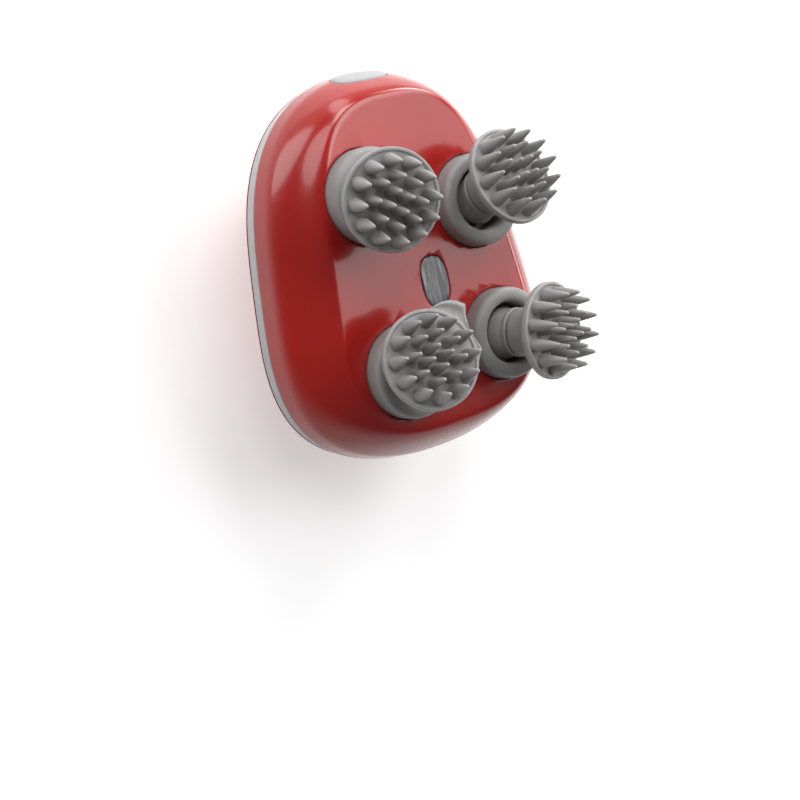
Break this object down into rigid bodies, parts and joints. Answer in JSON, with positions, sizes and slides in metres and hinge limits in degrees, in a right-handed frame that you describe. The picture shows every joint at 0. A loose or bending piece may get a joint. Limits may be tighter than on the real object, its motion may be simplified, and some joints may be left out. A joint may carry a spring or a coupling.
{
  "type": "electric scalp massager",
  "caption": "Handheld electric scalp massager: egg-shaped red body, geared wobbling silicone heads with soft pins, side power button, charging port plug.",
  "frame": {"origin": "centre of the flat back that the body rests on, under the middle of the body", "axes": "+X along the body away from the power button, +Z from the flat back towards the massage heads, +Y towards the pair of heads that stand closer together"},
  "size_m": [0.112, 0.0928, 0.0767],
  "materials": {
    "shell_red": "glossy moulded ABS, deep red",
    "band_grey": "satin light grey",
    "seal_rubber": "matt",
    "lens_dark": "glossy dark grey",
    "board_green": "solder mask",
    "silicone_boot": "satin grey silicone",
    "silicone_head": "satin grey silicone",
    "chassis_abs": "as moulded",
    "bronze": "sintered bronze",
    "steel": "ground",
    "motor_steel": "plated",
    "screw_steel": "black plated",
    "cell_wrap": "shrink sleeve",
    "gear_acetal": "as moulded",
    "hub_plastic": "as moulded",
    "button_grey": "satin light grey",
    "plug_grey": "satin light grey silicone"
  },
  "bodies": {
    "housing": {"front_cover": "shell_red", "rear_cover": "shell_red", "grip_band": "band_grey", "cover_seal": "seal_rubber", "face_lens": "lens_dark", "lens_board": "board_green", "boot_ul": "silicone_boot", "boot_ll": "silicone_boot", "boot_ur": "silicone_boot", "boot_lr": "silicone_boot", "deck_plate": "chassis_abs", "base_plate": "chassis_abs", "deck_bushes": "bronze", "base_bushes": "bronze", "idler_pin": "steel", "motor_can": "motor_steel", "motor_gearbox": "motor_steel", "motor_screws": "screw_steel", "battery_cell": "cell_wrap", "battery_saddles": "chassis_abs", "main_board": "board_green", "charging_socket": "steel", "switch_board": "board_green", "case_screws": "screw_steel", "deck_screws": "screw_steel"},
    "drive": {"drive_gear": "gear_acetal", "drive_shaft": "steel"},
    "idler": {"idler_gear": "gear_acetal"},
    "crank_ul": {"gear_ul": "gear_acetal", "crank_pin_ul": "steel", "pin_clip_ul": "screw_steel"},
    "crank_ll": {"gear_ll": "gear_acetal", "crank_pin_ll": "steel", "pin_clip_ll": "screw_steel"},
    "crank_ur": {"gear_ur": "gear_acetal", "crank_pin_ur": "steel", "pin_clip_ur": "screw_steel"},
    "crank_lr": {"gear_lr": "gear_acetal", "crank_pin_lr": "steel", "pin_clip_lr": "screw_steel"},
    "head_ul": {"hub_ul": "hub_plastic", "sleeve_ul": "silicone_boot", "head_cap_ul": "silicone_head"},
    "head_ll": {"hub_ll": "hub_plastic", "sleeve_ll": "silicone_boot", "head_cap_ll": "silicone_head"},
    "head_ur": {"hub_ur": "hub_plastic", "sleeve_ur": "silicone_boot", "head_cap_ur": "silicone_head"},
    "head_lr": {"hub_lr": "hub_plastic", "sleeve_lr": "silicone_boot", "head_cap_lr": "silicone_head"},
    "button": {"power_button": "button_grey"},
    "plug": {"port_plug": "plug_grey"}
  },
  "joints": [
    {"name": "drive_spin", "type": "hinge", "parent": "housing", "child": "drive", "pos_m": [0.0043, -0.00614, 0.033], "axis": [0, 0, 1], "continuous": true},
    {"name": "idler_spin", "type": "hinge", "parent": "housing", "child": "idler", "pos_m": [0.00725, 0.01669, 0.033], "axis": [0, 0, 1], "continuous": true},
    {"name": "crank_ul_spin", "type": "hinge", "parent": "housing", "child": "crank_ul", "pos_m": [-0.0208, -0.013, 0.033], "axis": [0, 0, 1], "continuous": true},
    {"name": "crank_ll_spin", "type": "hinge", "parent": "housing", "child": "crank_ll", "pos_m": [0.0294, -0.013, 0.033], "axis": [0, 0, 1], "continuous": true},
    {"name": "crank_ur_spin", "type": "hinge", "parent": "housing", "child": "crank_ur", "pos_m": [-0.0127, 0.02331, 0.033], "axis": [0, 0, 1], "continuous": true},
    {"name": "crank_lr_spin", "type": "hinge", "parent": "housing", "child": "crank_lr", "pos_m": [0.0272, 0.02331, 0.033], "axis": [0, 0, 1], "continuous": true},
    {"name": "head_ul_roll", "type": "hinge", "parent": "crank_ul", "child": "head_ul", "pos_m": [-0.0208, -0.013, 0.047], "axis": [0.1183, -0.2302, 0.9659], "continuous": true},
    {"name": "head_ll_roll", "type": "hinge", "parent": "crank_ll", "child": "head_ll", "pos_m": [0.0294, -0.013, 0.047], "axis": [-0.1887, -0.1772, 0.9659], "continuous": true},
    {"name": "head_ur_roll", "type": "hinge", "parent": "crank_ur", "child": "head_ur", "pos_m": [-0.0127, 0.02331, 0.047], "axis": [-0.2447, 0.0843, 0.9659], "continuous": true},
    {"name": "head_lr_roll", "type": "hinge", "parent": "crank_lr", "child": "head_lr", "pos_m": [0.0272, 0.02331, 0.047], "axis": [0.0687, 0.2495, 0.9659], "continuous": true},
    {"name": "button_press", "type": "slide", "parent": "housing", "child": "button", "axis": [0.9703, 0, -0.2419], "range_m": [0, 0.0008], "stiffness_N_per_m": 1500, "springref_m": -0.0004},
    {"name": "plug_pull", "type": "slide", "parent": "housing", "child": "plug", "axis": [1, 0, 0], "range_m": [0, 0.006]}
  ],
  "couplings": [
    {"joint": "idler_spin", "follows": "drive_spin", "ratio": -1.5556},
    {"joint": "crank_ul_spin", "follows": "drive_spin", "ratio": -1.1667},
    {"joint": "crank_ll_spin", "follows": "drive_spin", "ratio": -1.1667},
    {"joint": "crank_ur_spin", "follows": "drive_spin", "ratio": 1.1667},
    {"joint": "crank_lr_spin", "follows": "drive_spin", "ratio": 1.1667},
    {"joint": "head_ul_roll", "follows": "drive_spin", "ratio": 1.1667},
    {"joint": "head_ll_roll", "follows": "drive_spin", "ratio": 1.1667},
    {"joint": "head_ur_roll", "follows": "drive_spin", "ratio": -1.1667},
    {"joint": "head_lr_roll", "follows": "drive_spin", "ratio": -1.1667}
  ]
}
